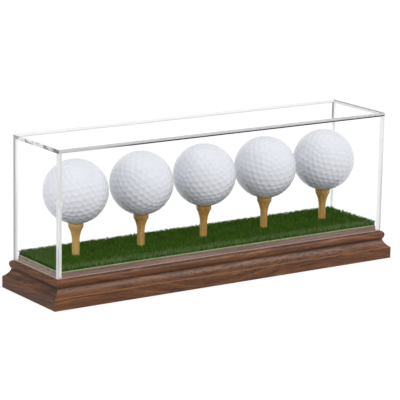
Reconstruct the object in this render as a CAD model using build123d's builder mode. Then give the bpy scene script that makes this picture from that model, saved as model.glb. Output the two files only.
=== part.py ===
from build123d import *
import math
import os
import random

# Golf ball display case: a row of balls on wooden tees, which stand through artificial turf
# on a raised plinth. A moulded walnut base carries the plinth, and a clear cover of five
# cemented sheets drops over it.
#
# Millimetres. The origin is the centre of the base, on the surface that the feet stand on.
# +X runs along the row of balls, -Y is the front and +Z is up.

# ---- balls
ball_diameter = 42.67  # the regulation size
ball_count = 5
ball_gap = 7.6  # between neighbours
dimple_frequency = 6  # steps along each edge of the icosahedron that the dimples follow
dimple_depth = 0.22
dimple_land = 0.16  # least width of cover left between two dimples
dimple_sizes = (3.9, 3.6, 3.3)  # diameters, the largest that fits is used
dimple_tilt = (17.0, 9.0)  # turns the pattern, so that no row is level
ball_turn = 47.0  # from each ball to the next, so that no two show the same side

# ---- room round the balls
end_margin = 6.1  # from an end ball to the plinth's end
side_margin = 4.9  # from the balls to the plinth's long edges
headroom = 11.6  # from the balls' tops to the ceiling of the cover

# ---- clear cover
sheet_thickness = 2.4
cover_clearance = 0.3  # from the plinth's edge to the inside of the cover
sheet_edge_break = 0.2

# ---- moulded base
foot_thickness = 1.0
foot_diameter = 10.0
foot_inset = 13.0  # from the base's outer faces to a foot's centre
rail_height = 19.0
rail_width = 16.0
base_reveal = 5.4  # how far the base stands out beyond the cover
fillet_height = 8.0  # flat band at the foot of the moulding
fillet_ease = 0.6
cove_hollow = 0.5  # depth of the cove below its chord
bead_inset = 3.25  # from the flat band's face to the bead's face
bead_crown_radius = 2.5
bead_height = 5.2
bead_undercut = 0.85  # how far the bead's lower edge lies behind its face
quirk_depth = 1.15  # groove between cove and bead, measured in from the bead's face
quirk_drop = 0.8  # from the bead's lower edge down to the bottom of the quirk
plinth_rise = 3.4
plinth_edge_break = 0.3

# ---- turf
turf_inset = 0.3  # from the plinth's edge to the turf's edge
backing_thickness = 0.6
root_thickness = 0.4  # slice of backing that the blades grow from
blade_height = 3.0
blade_pitch = 5.3
blade_root = (2.2, 1.0)
blade_tip = (0.7, 0.4)
blade_lean = 1.1
blade_jitter = 0.2
turf_seed = 7

# ---- tees
tee_length = 38.0
tee_reveal = 20.4  # from the blades' tips to the tee's rim
tee_shaft_diameter = 5.0
tee_head_diameter = 10.4
tee_head_taper = 0.2  # how much narrower the head's foot is, on the radius
tee_head_height = 3.0
tee_neck_step = 0.2
tee_taper_length = 9.4  # hollow cone between the head and the shaft
tee_rim_round = 0.3
tee_cup_radius = 4.7
tee_tip_length = 5.0
tee_tip_radius = 0.6
seat_gap = 0.15  # between a ball and the cup of its tee
tee_fit = 0.1  # glue line round the shaft
tee_end_room = 0.4  # below the tip in its blind hole

# ---- sizes and places that follow
ball_radius = ball_diameter / 2
ball_pitch = ball_diameter + ball_gap
ball_x = [(i - (ball_count - 1) / 2) * ball_pitch for i in range(ball_count)]

plinth_length = ball_diameter + (ball_count - 1) * ball_pitch + 2 * end_margin
plinth_width = ball_diameter + 2 * side_margin
cover_inner_length = plinth_length + 2 * cover_clearance
cover_inner_width = plinth_width + 2 * cover_clearance
cover_length = cover_inner_length + 2 * sheet_thickness
cover_width = cover_inner_width + 2 * sheet_thickness
base_length = cover_length + 2 * base_reveal
base_width = cover_width + 2 * base_reveal
turf_length = plinth_length - 2 * turf_inset
turf_width = plinth_width - 2 * turf_inset

ledge_z = foot_thickness + rail_height
plinth_z = ledge_z + plinth_rise
root_z = plinth_z + backing_thickness
turf_z = root_z + root_thickness
tips_z = turf_z + blade_height
rim_z = tips_z + tee_reveal
cup_sphere_radius = ball_radius + seat_gap
ball_rise = math.sqrt(cup_sphere_radius**2 - tee_cup_radius**2)
ball_z = rim_z + ball_rise
ceiling_z = ball_z + ball_radius + headroom
wall_height = ceiling_z - ledge_z

shaft_radius = tee_shaft_diameter / 2
hole_radius = shaft_radius + tee_fit
tee_bottom_z = rim_z - tee_length
hole_bottom_z = tee_bottom_z - tee_end_room

os.makedirs("parts", exist_ok=True)


# ---- base: four mitred lengths of moulding round a core board
def make_rail(name, outer_face, inward, along, mitred_plan):
    """One length of the moulding, with its section drawn as inset from the outer face
    against height, and its ends cut to the mitred plan."""
    section = Plane(origin=outer_face, x_dir=inward, z_dir=along)
    bead_lower_edge = rail_height - bead_height
    with BuildPart() as rail:
        with BuildSketch(section):
            with BuildLine():
                face = Line((0, 0), (0, fillet_height - fillet_ease))
                ease = TangentArc(face @ 1, (fillet_ease, fillet_height), tangent=(0, 1))
                cove = SagittaArc(
                    ease @ 1,
                    (bead_inset + quirk_depth, bead_lower_edge - quirk_drop),
                    -cove_hollow,
                )
                quirk = Line(cove @ 1, (bead_inset + bead_undercut, bead_lower_edge))
                crown = TangentArc(
                    (bead_inset + bead_crown_radius, rail_height),
                    (bead_inset, rail_height - bead_crown_radius),
                    tangent=(-1, 0),
                )
                TangentArc(crown @ 1, quirk @ 1, tangent=(0, -1))
                Polyline(crown @ 0, (rail_width, rail_height), (rail_width, 0), (0, 0))
            make_face()
        extrude(amount=base_length, both=True)
        with BuildSketch(Plane.XY.offset(foot_thickness)):
            with BuildLine():
                Polyline(*mitred_plan, close=True)
            make_face()
        extrude(amount=rail_height, mode=Mode.INTERSECT)
    rail.part.label = name
    export_step(rail.part, f"parts/{name}.step")


half_length = base_length / 2
half_width = base_width / 2
core_half_length = half_length - rail_width
core_half_width = half_width - rail_width

for side, name in ((-1, "base_rail_front"), (1, "base_rail_rear")):
    make_rail(
        name,
        outer_face=(0, side * half_width, foot_thickness),
        inward=(0, -side, 0),
        along=(-side, 0, 0),
        mitred_plan=[
            (-half_length, side * half_width),
            (half_length, side * half_width),
            (core_half_length, side * core_half_width),
            (-core_half_length, side * core_half_width),
        ],
    )

for side, name in ((-1, "base_rail_left"), (1, "base_rail_right")):
    make_rail(
        name,
        outer_face=(side * half_length, 0, foot_thickness),
        inward=(-side, 0, 0),
        along=(0, side, 0),
        mitred_plan=[
            (side * half_length, -half_width),
            (side * half_length, half_width),
            (side * core_half_length, core_half_width),
            (side * core_half_length, -core_half_width),
        ],
    )

tee_places = [(x, 0) for x in ball_x]

with BuildPart() as core_board:
    with BuildSketch(Plane.XY.offset(foot_thickness)):
        Rectangle(2 * core_half_length, 2 * core_half_width)
    extrude(amount=rail_height)
    with BuildSketch(Plane.XY.offset(hole_bottom_z)):
        with Locations(*tee_places):
            Circle(hole_radius)
    extrude(amount=ledge_z - hole_bottom_z, mode=Mode.SUBTRACT)
core_board.part.label = "core_board"
export_step(core_board.part, "parts/core_board.step")

with BuildPart() as plinth:
    with BuildSketch(Plane.XY.offset(ledge_z)):
        Rectangle(plinth_length, plinth_width)
        with Locations(*tee_places):
            Circle(hole_radius, mode=Mode.SUBTRACT)
    extrude(amount=plinth_rise)
    chamfer(
        plinth.edges().group_by(Axis.Z)[-1].filter_by(GeomType.LINE),
        length=min(plinth_edge_break, turf_inset),
    )
plinth.part.label = "plinth"
export_step(plinth.part, "parts/plinth.step")

with BuildPart() as felt_feet:
    with BuildSketch(Plane.XY):
        with GridLocations(base_length - 2 * foot_inset, base_width - 2 * foot_inset, 2, 2):
            Circle(foot_diameter / 2)
    extrude(amount=foot_thickness)
felt_feet.part.label = "felt_feet"
export_step(felt_feet.part, "parts/felt_feet.step")

# ---- turf: a backing, and blades that grow from a slice of it
with BuildPart() as turf_backing:
    with BuildSketch(Plane.XY.offset(plinth_z)):
        Rectangle(turf_length, turf_width)
        with Locations(*tee_places):
            Circle(hole_radius, mode=Mode.SUBTRACT)
    extrude(amount=backing_thickness)
turf_backing.part.label = "turf_backing"
export_step(turf_backing.part, "parts/turf_backing.step")

blade_reach = math.hypot(*blade_root) / 2 + blade_lean + blade_jitter
rows = int((turf_width - 2 * blade_reach) / blade_pitch) + 1
columns = int((turf_length - 2 * blade_reach) / blade_pitch) + 1
row_step = (turf_width - 2 * blade_reach) / (rows - 1)
column_step = (turf_length - 2 * blade_reach) / (columns - 1)
draw = random.Random(turf_seed)
blades = []
for row in range(rows):
    for column in range(columns):
        x = (column - (columns - 1) / 2) * column_step + draw.uniform(-blade_jitter, blade_jitter)
        y = (row - (rows - 1) / 2) * row_step + draw.uniform(-blade_jitter, blade_jitter)
        turn = draw.uniform(0, 180)
        lean_x = draw.uniform(-blade_lean, blade_lean) * math.sqrt(0.5)
        lean_y = draw.uniform(-blade_lean, blade_lean) * math.sqrt(0.5)
        if min(math.hypot(x - tee_x, y) for tee_x in ball_x) < hole_radius + blade_reach:
            continue
        with BuildPart(mode=Mode.PRIVATE) as blade:
            with BuildSketch(Plane.XY.offset(turf_z)):
                with Locations((x, y)):
                    Rectangle(*blade_root, rotation=turn)
            with BuildSketch(Plane.XY.offset(tips_z)):
                with Locations((x + lean_x, y + lean_y)):
                    Rectangle(*blade_tip, rotation=turn)
            loft(ruled=True)
        blades.append(blade.part)

with BuildPart() as turf_pile:
    with BuildSketch(Plane.XY.offset(root_z)):
        Rectangle(turf_length, turf_width)
        with Locations(*tee_places):
            Circle(hole_radius, mode=Mode.SUBTRACT)
    extrude(amount=root_thickness)
    add(blades, clean=False)
print("turf blades:", len(blades))
turf_pile.part.label = "turf_pile"
export_step(turf_pile.part, "parts/turf_pile.step")


# ---- tees
def make_tee(name, x):
    """A turned tee: pointed shaft, hollow cone, short head, and a cup struck from the
    ball's own centre."""
    neck_radius = tee_head_diameter / 2 - tee_head_taper - tee_neck_step
    cup_half_angle = math.degrees(math.asin(tee_cup_radius / cup_sphere_radius))
    section = Plane(origin=(x, 0, rim_z), x_dir=(1, 0, 0), z_dir=(0, -1, 0))
    with BuildPart() as tee:
        with BuildSketch(section):
            with BuildLine():
                point = Line((0, -tee_length), (tee_tip_radius, -tee_length))
                tip = Line(point @ 1, (shaft_radius, tee_tip_length - tee_length))
                shaft = Line(tip @ 1, (shaft_radius, -tee_head_height - tee_taper_length))
                cone = TangentArc(shaft @ 1, (neck_radius, -tee_head_height), tangent=(0, 1))
                rim = Polyline(
                    cone @ 1,
                    (neck_radius + tee_neck_step, -tee_head_height),
                    (tee_head_diameter / 2, -tee_rim_round),
                )
                lip = RadiusArc(
                    rim @ 1,
                    (tee_head_diameter / 2 - tee_rim_round, 0),
                    -tee_rim_round,
                )
                Line(lip @ 1, (tee_cup_radius, 0))
                cup = CenterArc((0, ball_rise), cup_sphere_radius, 270, cup_half_angle)
                Line(cup @ 0, point @ 0)
            make_face()
        revolve(axis=Axis((x, 0, 0), (0, 0, 1)))
    tee.part.label = name
    export_step(tee.part, f"parts/{name}.step")


for number, x in enumerate(ball_x, start=1):
    make_tee(f"tee_{number}", x)


# ---- balls
def dimple_directions():
    """Unit vectors to the dimples: the corners, and the points that divide each face of
    an icosahedron into small triangles, pushed out onto the sphere."""
    golden = (1 + math.sqrt(5)) / 2
    corners = []
    for a in (-1, 1):
        for b in (-golden, golden):
            corners += [Vector(0, a, b), Vector(a, b, 0), Vector(b, 0, a)]
    edge_length = 2.0
    found = {}
    for i, a in enumerate(corners):
        near = [c for c in corners[i + 1 :] if (c - a).length < edge_length * 1.01]
        for j, b in enumerate(near):
            for c in near[j + 1 :]:
                if (c - b).length > edge_length * 1.01:
                    continue
                for m in range(dimple_frequency + 1):
                    for n in range(dimple_frequency + 1 - m):
                        point = a * m + b * n + c * (dimple_frequency - m - n)
                        unit = point.normalized()
                        found[round(unit.X, 4), round(unit.Y, 4), round(unit.Z, 4)] = unit
    return [
        unit.rotate(Axis.X, dimple_tilt[0]).rotate(Axis.Y, dimple_tilt[1])
        for unit in found.values()
    ]


def make_dimple_cutter(diameter):
    """A lens under a short plug, standing on the ball's surface: the lens is the hollow of
    one dimple, and the plug stands out of the ball by the same depth."""
    half = diameter / 2
    rim_drop = ball_radius - math.sqrt(ball_radius**2 - half**2)
    with BuildPart(mode=Mode.PRIVATE) as cutter:
        with BuildSketch(Plane.XZ):
            with BuildLine():
                hollow = TangentArc((0, -rim_drop - dimple_depth), (half, -rim_drop), tangent=(1, 0))
                Polyline(hollow @ 1, (half, dimple_depth), (0, dimple_depth), hollow @ 0)
            make_face()
        revolve(axis=Axis.Z)
    return cutter.part


directions = dimple_directions()
dimple_places = {size: [] for size in dimple_sizes}
for unit in directions:
    spacing = min((unit - other).length for other in directions if other is not unit)
    room = spacing * ball_radius - dimple_land
    size = next(d for d in dimple_sizes if d <= room or d == dimple_sizes[-1])
    dimple_places[size].append(Plane(origin=unit * ball_radius, z_dir=unit).location)

cutters = []
for size, places in dimple_places.items():
    cutter = make_dimple_cutter(size)
    cutters += [cutter.moved(place) for place in places]

with BuildPart(mode=Mode.PRIVATE) as dimpled_ball:
    Sphere(ball_radius)
    add(cutters, clean=False, mode=Mode.SUBTRACT)
print("dimples by diameter:", {size: len(places) for size, places in dimple_places.items()})

for number, x in enumerate(ball_x, start=1):
    with BuildPart() as ball:
        with Locations(Location((x, 0, ball_z), (0, 0, number * ball_turn))):
            add(dimpled_ball.part, clean=False)
    ball.part.label = f"ball_{number}"
    export_step(ball.part, f"parts/ball_{number}.step")


# ---- cover: four walls and a top, cemented edge to face
def make_wall(name, centre, length, width):
    """A wall sheet that stands on the ledge, with the outer corner edges broken."""
    with BuildPart() as wall:
        with BuildSketch(Plane.XY.offset(ledge_z)):
            with Locations(centre):
                Rectangle(length, width)
        extrude(amount=wall_height)
        outer_corners = wall.edges().filter_by(Axis.Z).filter_by(
            lambda edge: math.isclose(abs(edge.center().X), cover_length / 2)
            and math.isclose(abs(edge.center().Y), cover_width / 2)
        )
        if outer_corners:
            chamfer(outer_corners, length=sheet_edge_break)
    wall.part.label = name
    export_step(wall.part, f"parts/{name}.step")


long_wall_y = (cover_width - sheet_thickness) / 2
end_wall_x = (cover_length - sheet_thickness) / 2
make_wall("cover_front", (0, -long_wall_y), cover_length, sheet_thickness)
make_wall("cover_rear", (0, long_wall_y), cover_length, sheet_thickness)
make_wall("cover_left", (-end_wall_x, 0), sheet_thickness, cover_inner_width)
make_wall("cover_right", (end_wall_x, 0), sheet_thickness, cover_inner_width)

with BuildPart() as cover_top:
    with BuildSketch(Plane.XY.offset(ceiling_z)):
        Rectangle(cover_length, cover_width)
    extrude(amount=sheet_thickness)
    chamfer(cover_top.edges().group_by(Axis.Z)[-1], length=sheet_edge_break)
    chamfer(cover_top.edges().filter_by(Axis.Z), length=sheet_edge_break)
cover_top.part.label = "cover_top"
export_step(cover_top.part, "parts/cover_top.step")

print("base", round(base_length, 2), "x", round(base_width, 2))
print("cover", round(cover_length, 2), "x", round(cover_width, 2), "x", round(wall_height, 2))
print("overall height", round(ceiling_z + sheet_thickness, 2))
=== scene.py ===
# %% [markdown]
# # A golf ball display case
# Five balls stand on wooden tees. The tees come up through a strip of artificial turf, which lies
# on a raised plinth, and a clear cover of cemented sheets drops over them onto a walnut base.
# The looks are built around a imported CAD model. It is loaded first, it is in metres, and nothing
# in it is moved: a piece made here either gives a CAD node its finish or stands in its place.

# %% The frame
import math

import bpy
import numpy as np
from mathutils import Matrix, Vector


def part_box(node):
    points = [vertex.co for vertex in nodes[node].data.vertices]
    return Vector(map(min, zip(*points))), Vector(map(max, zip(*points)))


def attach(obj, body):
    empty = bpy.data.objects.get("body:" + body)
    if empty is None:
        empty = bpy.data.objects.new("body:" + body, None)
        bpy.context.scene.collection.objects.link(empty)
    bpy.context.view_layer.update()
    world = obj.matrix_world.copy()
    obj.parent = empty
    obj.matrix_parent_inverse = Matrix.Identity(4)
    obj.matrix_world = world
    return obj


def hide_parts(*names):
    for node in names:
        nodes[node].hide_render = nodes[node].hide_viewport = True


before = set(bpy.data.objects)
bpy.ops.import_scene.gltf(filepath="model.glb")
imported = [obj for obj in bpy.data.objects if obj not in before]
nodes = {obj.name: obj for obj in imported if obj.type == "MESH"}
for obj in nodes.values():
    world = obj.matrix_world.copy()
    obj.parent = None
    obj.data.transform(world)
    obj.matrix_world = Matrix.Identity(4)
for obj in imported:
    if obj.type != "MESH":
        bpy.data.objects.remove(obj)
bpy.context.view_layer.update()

mm = 0.001

# %% [markdown]
# ## Meshes from arrays
# Every new shape below is worked out as one numpy array of points. Two small helpers turn such
# arrays into pieces: one numbers the faces of a grid, the other hands points and faces to
# Blender with foreach_set, which is far quicker than adding faces one by one.


# %% Grid faces and new pieces
def grid_faces(rows, columns, close_rows=False, close_columns=False):
    """Four-sided faces between neighbouring points of a grid that is numbered row by row.
    Closing a direction joins its last line of points to its first."""
    row = np.arange(rows if close_rows else rows - 1)[:, None]
    column = np.arange(columns if close_columns else columns - 1)[None, :]
    next_row = (row + 1) % rows
    next_column = (column + 1) % columns
    corners = (
        row * columns + column,
        row * columns + next_column,
        next_row * columns + next_column,
        next_row * columns + column,
    )
    return np.stack(corners, axis=-1).reshape(-1, 4)


def new_piece(name, points, *face_sets):
    """A smooth-shaded object from points and from one array of faces for each number of
    sides. A face lists its corners counter-clockwise, seen from outside."""
    corners = np.concatenate([faces.ravel() for faces in face_sets])
    sides = np.concatenate([np.full(len(faces), faces.shape[1]) for faces in face_sets])
    mesh = bpy.data.meshes.new(name)
    mesh.vertices.add(len(points))
    mesh.vertices.foreach_set("co", points.astype(np.float32).ravel())
    mesh.loops.add(len(corners))
    mesh.loops.foreach_set("vertex_index", corners.astype(np.int32))
    mesh.polygons.add(len(sides))
    mesh.polygons.foreach_set("loop_start", (np.cumsum(sides) - sides).astype(np.int32))
    mesh.update(calc_edges=True)
    mesh.validate()
    mesh.shade_smooth()
    piece = bpy.data.objects.new(name, mesh)
    bpy.context.scene.collection.objects.link(piece)
    return piece


# %% [markdown]
# A closed mesh whose faces point outwards has a positive volume. Printing it for each piece shows
# a flipped or open shape at once. Numbers that a material reads, such as how deep a point lies in
# a dimple, are kept with the points as attributes.


# %% Measures and attributes
def measure(piece):
    """Prints the piece's triangles, with its modifiers applied, and its volume: a sixth of the
    sum, over its triangles, of the first corner times the cross product of the other two."""
    mesh = piece.evaluated_get(bpy.context.evaluated_depsgraph_get()).to_mesh()
    mesh.calc_loop_triangles()
    corners = np.empty(len(mesh.loop_triangles) * 3, np.int32)
    mesh.loop_triangles.foreach_get("vertices", corners)
    points = np.empty(len(mesh.vertices) * 3, np.float32)
    mesh.vertices.foreach_get("co", points)
    a, b, c = points.astype(float).reshape(-1, 3)[corners].reshape(-1, 3, 3).transpose(1, 0, 2)
    volume = np.einsum("ij,ij->", a, np.cross(b, c)) / 6
    print(f"{piece.name}: {len(corners) // 3} triangles, {volume / mm**3:.0f} mm3")


def keep_with_points(piece, name, values):
    """Stores one number, or one vector, for each point of the piece."""
    kind, field = ("FLOAT_VECTOR", "vector") if values.ndim == 2 else ("FLOAT", "value")
    attribute = piece.data.attributes.new(name, kind, "POINT")
    attribute.data.foreach_set(field, values.astype(np.float32).ravel())


def put_in_place(piece, body, stands_for):
    """Fixes the piece to a body, and hides the CAD nodes it stands for."""
    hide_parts(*stands_for)
    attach(piece, body)
    measure(piece)


# %% [markdown]
# ## Materials from nodes
# A finish is a small network of nodes. These helpers keep each network short: one adds a node and
# fills in its inputs, the others are the three sums that come back in every finish. Colours are
# written as display values from 0 to 255 and turned into the linear light that Cycles counts in.


# %% Node helpers
def paint(red, green, blue):
    """Display values to linear light: a straight part near black, then a power of 2.4."""
    shares = np.array([red, green, blue]) / 255
    linear = np.where(shares <= 0.04045, shares / 12.92, ((shares + 0.055) / 1.055) ** 2.4)
    return (*linear.tolist(), 1.0)


def add_node(tree, kind, inputs=None, **settings):
    """A shader node. Each input is given a value, or a link if the value is a socket."""
    node = tree.nodes.new("ShaderNode" + kind)
    for name, setting in settings.items():
        setattr(node, name, setting)
    for key, value in (inputs or {}).items():
        if isinstance(value, bpy.types.NodeSocket):
            tree.links.new(value, node.inputs[key])
        else:
            node.inputs[key].default_value = value
    return node


def mix_colours(tree, share, first, second, blend_type="MIX"):
    """The first colour, turned into the second by share."""
    inputs = {0: share, 6: first, 7: second}
    return add_node(tree, "Mix", inputs, data_type="RGBA", blend_type=blend_type).outputs[2]


def ease_between(tree, value, start, end, low=0.0, high=1.0):
    """Low up to start, high from end on, and a smooth step between them."""
    inputs = {"Value": value, 1: start, 2: end, 3: low, 4: high}
    return add_node(tree, "MapRange", inputs, interpolation_type="SMOOTHSTEP").outputs[0]


def arithmetic(tree, operation, first, second=0.0):
    """One sum of two values."""
    return add_node(tree, "Math", {0: first, 1: second}, operation=operation).outputs[0]


def stretched_noise(tree, vector, stretch, **inputs):
    """Noise whose spots are drawn out: the vector times stretch, in spots per metre."""
    scaled = add_node(tree, "VectorMath", {0: vector, 1: stretch}, operation="MULTIPLY")
    named = {name.capitalize(): value for name, value in inputs.items()}
    noise = add_node(tree, "TexNoise", {"Vector": scaled.outputs[0], "Scale": 1.0, **named})
    return noise.outputs["Fac"]


def new_material(name, **plain_inputs):
    """A material with its Principled shader. Plain inputs are the numbers that are the same
    all over the surface, with underscores for the spaces in their names."""
    material = bpy.data.materials.new(name)
    material.use_nodes = True
    tree = material.node_tree
    shader = tree.nodes["Principled BSDF"]
    for key, value in plain_inputs.items():
        shader.inputs[key.replace("_", " ").title().replace("Ior", "IOR")].default_value = value
    return material, tree, shader


def add_bump(tree, shader, height, depth):
    """Dents of the given depth in metres, where height is low."""
    bump = add_node(tree, "Bump", {"Height": height, "Distance": depth, "Strength": 1.0})
    tree.links.new(bump.outputs["Normal"], shader.inputs["Normal"])


# %% [markdown]
# ## Wood
# Walnut, the pale wood of the tees and the board in the base all have the same make-up: broad
# streaks from the growth rings, fine fibres, and short dark pores, all drawn out along the grain.
# So they share one node group, and each material gives it its own colours. The group reads a
# vector in metres whose first number runs along the grain.


# %% The timber group
def build_timber_group():
    """Streaks are noise drawn out 20 times. Rings are the sine of a still broader noise, which
    makes contour lines like those on a sawn board. Fibres and pores are fine noises, and the
    pores keep only the peaks of theirs."""
    group = bpy.data.node_groups.new("timber", "ShaderNodeTree")
    sockets = (
        ("Grain", "NodeSocketVector"),
        ("Dark", "NodeSocketColor"),
        ("Middle", "NodeSocketColor"),
        ("Light", "NodeSocketColor"),
        ("Ring Depth", "NodeSocketFloat"),
        ("Pore Depth", "NodeSocketFloat"),
        ("Fibre Depth", "NodeSocketFloat"),
    )
    for name, kind in sockets:
        group.interface.new_socket(name, in_out="INPUT", socket_type=kind)
    for name, kind in (("Color", "NodeSocketColor"), ("Roughness", "NodeSocketFloat"), ("Height", "NodeSocketFloat")):
        group.interface.new_socket(name, in_out="OUTPUT", socket_type=kind)
    given = group.nodes.new("NodeGroupInput")
    result = group.nodes.new("NodeGroupOutput")
    grain = given.outputs["Grain"]

    streak = stretched_noise(group, grain, (16, 380, 380), detail=6.0, roughness=0.62, distortion=0.4)
    broad = stretched_noise(group, grain, (7, 60, 60), detail=2.0, roughness=0.45, distortion=0.2)
    ring = arithmetic(group, "SINE", arithmetic(group, "MULTIPLY", broad, 70.0))
    fibre = stretched_noise(group, grain, (75, 1150, 1150), detail=4.0, roughness=0.65)
    pore_noise = stretched_noise(group, grain, (260, 1000, 1000), detail=2.0, distortion=0.4)
    pore_start = ease_between(group, broad, 0.35, 0.60, 0.65, 0.53)
    pore = arithmetic(group, "MULTIPLY", arithmetic(group, "SUBTRACT", pore_noise, pore_start), 12.0)
    pore.node.use_clamp = True

    low = mix_colours(group, ease_between(group, streak, 0.32, 0.50), given.outputs["Dark"], given.outputs["Middle"])
    colour = mix_colours(group, ease_between(group, streak, 0.50, 0.70), low, given.outputs["Light"])
    ring_share = arithmetic(group, "MULTIPLY", ease_between(group, ring, 0.2, 1.0), given.outputs["Ring Depth"])
    colour = mix_colours(group, ring_share, colour, given.outputs["Dark"])
    fibre_change = ease_between(group, fibre, 0.3, 0.7, -0.32, 0.30)
    fibre_change = arithmetic(group, "MULTIPLY", fibre_change, given.outputs["Fibre Depth"])
    fibre_shade = arithmetic(group, "ADD", fibre_change, 1.0)
    shade = add_node(group, "CombineColor", {0: fibre_shade, 1: fibre_shade, 2: fibre_shade}).outputs[0]
    colour = mix_colours(group, 1.0, colour, shade, "MULTIPLY")
    pore_share = arithmetic(group, "MULTIPLY", pore, given.outputs["Pore Depth"])
    colour = mix_colours(group, pore_share, colour, (0.006, 0.003, 0.002, 1.0))

    group.links.new(colour, result.inputs["Color"])
    group.links.new(ease_between(group, fibre, 0.25, 0.75, 0.27, 0.42), result.inputs["Roughness"])
    group.links.new(arithmetic(group, "SUBTRACT", fibre, pore), result.inputs["Height"])
    return group


timber = build_timber_group()
print("timber group:", len(timber.nodes), "nodes")


# %% [markdown]
# The grain follows each piece of wood, not the room: along the length of every rail and up every
# tee. New pieces keep that as an attribute named grain. The plinth and the board in the base run
# along X, so they can read Object coordinates as they are.


# %% Wood materials
def wood_material(name, dark, middle, light, depths, from_attribute, gloss=0.35):
    """The timber group on a Principled shader, with grooves as deep as fine pores. The depths
    are those of its rings, pores and fibres."""
    ring_depth, pore_depth, fibre_depth = depths
    material, tree, shader = new_material(name, specular_ior_level=gloss)
    if from_attribute:
        grain = add_node(tree, "Attribute", attribute_name="grain").outputs["Vector"]
    else:
        grain = add_node(tree, "TexCoord").outputs["Object"]
    wood = add_node(tree, "Group", node_tree=timber)
    for key, value in (("Dark", dark), ("Middle", middle), ("Light", light)):
        wood.inputs[key].default_value = paint(*value)
    wood.inputs["Ring Depth"].default_value = ring_depth
    wood.inputs["Fibre Depth"].default_value = fibre_depth
    tree.links.new(grain, wood.inputs["Grain"])
    # An attribute read here darkens the wood where it is below 0, as painted shade, and pales it towards the light
    # colour where it is above 0: a painted highlight on the rails, a paler tone on the tees. Pores close where it is
    # dark and open where it is pale.
    painted_light_and_paleness = add_node(tree, "Attribute", attribute_name="painted_light_and_paleness").outputs["Fac"]
    open_pores = ease_between(tree, painted_light_and_paleness, 0.0, 0.5, 0.4 * pore_depth, 2.0 * pore_depth)
    tree.links.new(open_pores, wood.inputs["Pore Depth"])
    painted_shade = ease_between(tree, painted_light_and_paleness, -1.0, 0.0, 0.8, 0.0)
    with_painted_shade = mix_colours(tree, painted_shade, wood.outputs["Color"], (0.22, 0.14, 0.10, 1.0), "MULTIPLY")
    painted_highlight_and_paleness = mix_colours(tree, ease_between(tree, painted_light_and_paleness, 0.0, 1.0, 0.0, 0.8), with_painted_shade, paint(*light))
    tree.links.new(painted_highlight_and_paleness, shader.inputs["Base Color"])
    tree.links.new(wood.outputs["Roughness"], shader.inputs["Roughness"])
    add_bump(tree, shader, wood.outputs["Height"], 0.03 * mm)
    return material


walnut = wood_material(
    "walnut", (68, 33, 12), (106, 61, 29), (142, 94, 56), (0.25, 1.0, 1.0), from_attribute=True
)
end_walnut = wood_material(
    "end_walnut", (68, 33, 12), (106, 61, 29), (142, 94, 56), (0.25, 1.0, 1.0), from_attribute=True, gloss=0.16
)
# The plinth's walnut is paler and greyer than the rails': a painted reflection of the white room in the cover's front
# sheet.
plinth_walnut = wood_material(
    "plinth_walnut", (95, 66, 54), (128, 96, 82), (150, 118, 104), (0.10, 0.3, 0.35), from_attribute=False
)
tee_wood = wood_material(
    "tee_wood", (150, 108, 52), (188, 145, 78), (212, 174, 110), (0.15, 0.25, 0.6), from_attribute=True
)
core_wood = wood_material(
    "core_board", (140, 112, 80), (166, 138, 104), (186, 160, 126), (0.25, 0.6, 0.8), from_attribute=False
)
print("wood materials:", walnut.name, plinth_walnut.name, tee_wood.name, core_wood.name)

# %% [markdown]
# ## The base moulding
# On the real case this is one stick of moulding, cut into four lengths and glued at mitred
# corners. Its section has a flat band, a cove, a sharp groove and a rounded bead on top. A box
# with bevels could not give the cove or the undercut bead, so the section is carried along each
# side. Pulling each point's end in by its own inset cuts the mitre with no further work.

# %% The moulding's section, as inset from the outer face against height
rail_height = 19.0 * mm
rail_width = 16.0 * mm
fillet_height = 8.0 * mm
fillet_ease = 0.6 * mm
cove_hollow = 0.5 * mm
bead_inset = 3.25 * mm
bead_crown_radius = 2.5 * mm
bead_height = 5.2 * mm
bead_undercut = 0.85 * mm
quirk_depth = 1.15 * mm
quirk_drop = 0.8 * mm


def arc(start, end, rise, count=12):
    """Points on a circular arc from start to end whose middle stands off the chord by rise,
    to the left of the way there. Its radius is rise / 2 + chord squared / (8 rise)."""
    start, end = np.array(start), np.array(end)
    chord = np.linalg.norm(end - start)
    along = (end - start) / chord
    left = np.array([-along[1], along[0]])
    radius = abs(rise) / 2 + chord**2 / (8 * abs(rise))
    side = math.copysign(1.0, rise)
    centre = (start + end) / 2 + left * (rise - side * radius)
    half_turn = math.asin(chord / (2 * radius))
    turn = np.linspace(-half_turn, half_turn, count)[:, None]
    return centre + radius * (np.sin(turn) * along + side * np.cos(turn) * left)


def rise_of_tangent_arc(start, end, direction):
    """How far an arc that leaves start in a direction stands off its chord: half the chord
    times the tangent of half the angle between the two."""
    chord = np.array(end) - np.array(start)
    cross = direction[0] * chord[1] - direction[1] * chord[0]
    angle = math.atan2(cross, np.dot(direction, chord))
    return -np.linalg.norm(chord) / 2 * math.tan(angle / 2)


def moulding_section():
    """The closed outline, upwards along the face and back down behind it."""
    lower_edge = rail_height - bead_height
    ease_start, ease_end = (0, fillet_height - fillet_ease), (fillet_ease, fillet_height)
    cove_end = (bead_inset + quirk_depth, lower_edge - quirk_drop)
    bead_start = (bead_inset + bead_undercut, lower_edge)
    bead_face = (bead_inset, rail_height - bead_crown_radius)
    crown_end = (bead_inset + bead_crown_radius, rail_height)
    undercut_rise = rise_of_tangent_arc(bead_face, bead_start, (0, -1))
    return np.concatenate([
        [(0, 0), (0, fillet_height - 1.6 * mm)],
        arc(ease_start, ease_end, rise_of_tangent_arc(ease_start, ease_end, (0, 1)), 6),
        arc(ease_end, cove_end, -cove_hollow, 18)[1:],
        arc(bead_start, bead_face, -undercut_rise, 12),
        arc(bead_face, crown_end, rise_of_tangent_arc(bead_face, crown_end, (0, 1)), 12)[1:],
        [(rail_width, rail_height), (rail_width, 0)],
    ])


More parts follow.
